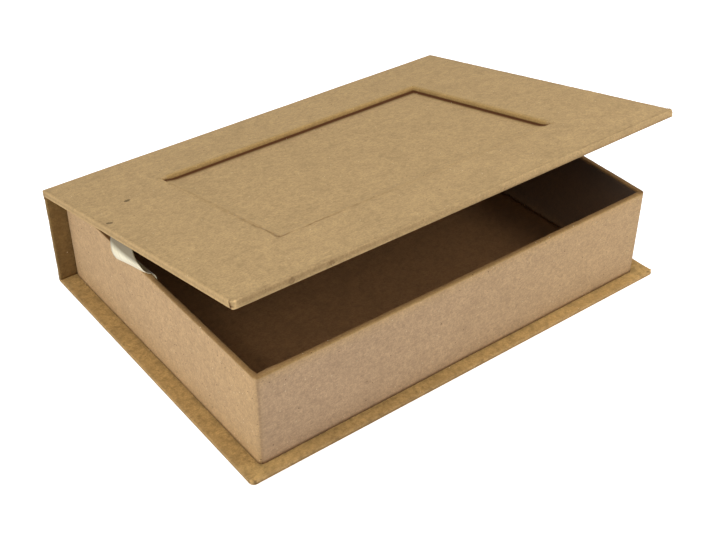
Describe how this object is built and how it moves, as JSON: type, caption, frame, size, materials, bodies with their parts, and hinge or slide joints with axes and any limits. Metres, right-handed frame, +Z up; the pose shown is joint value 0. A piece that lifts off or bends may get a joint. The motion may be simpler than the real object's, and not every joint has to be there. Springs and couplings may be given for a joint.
{
  "type": "book box",
  "caption": "Book-shaped keepsake box covered in kraft paper, with a hinged lid, a photo window in the lid, a tray and a ribbon stay, its lid standing ajar.",
  "frame": {"origin": "centre of the base's underside, where the closed box rests on a table", "axes": "+X along the spine, front (fore edge) at -Y, spine and hinge at +Y, +Z up"},
  "size_m": [0.24, 0.1763, 0.091],
  "materials": {
    "board": "matt",
    "cover_paper": "matt",
    "lining_paper": "matt",
    "ribbon": "satin"
  },
  "bodies": {
    "case_and_tray": {"base_board": "board", "base_lining_paper": "lining_paper", "base_cover_paper": "cover_paper", "spine_board": "board", "spine_lining_paper": "lining_paper", "spine_cover_paper": "cover_paper", "tray_floor_board": "board", "tray_floor_lining": "lining_paper", "tray_front_wall": "board", "tray_rear_wall": "board", "tray_left_wall": "board", "tray_right_wall": "board", "tray_wrap_paper": "cover_paper", "tray_wall_lining": "lining_paper", "hinge_cover_strip": "cover_paper", "hinge_lining_strip": "lining_paper", "ribbon_stay": "ribbon", "ribbon_tray_tail": "ribbon"},
    "lid": {"lid_back_board": "board", "window_panel_paper": "cover_paper", "lid_frame_board": "board", "lid_cover_paper": "cover_paper", "lid_lining_paper": "lining_paper", "ribbon_lid_tail": "ribbon"}
  },
  "joints": [
    {"name": "lid_hinge", "type": "hinge", "parent": "case_and_tray", "child": "lid", "pos_m": [0, 0.08755, 0.0497], "axis": [-1, 0, 0], "range_deg": [-12.5, 82.5], "deforming": ["hinge_cover_strip", "hinge_lining_strip", "ribbon_stay"]}
  ]
}
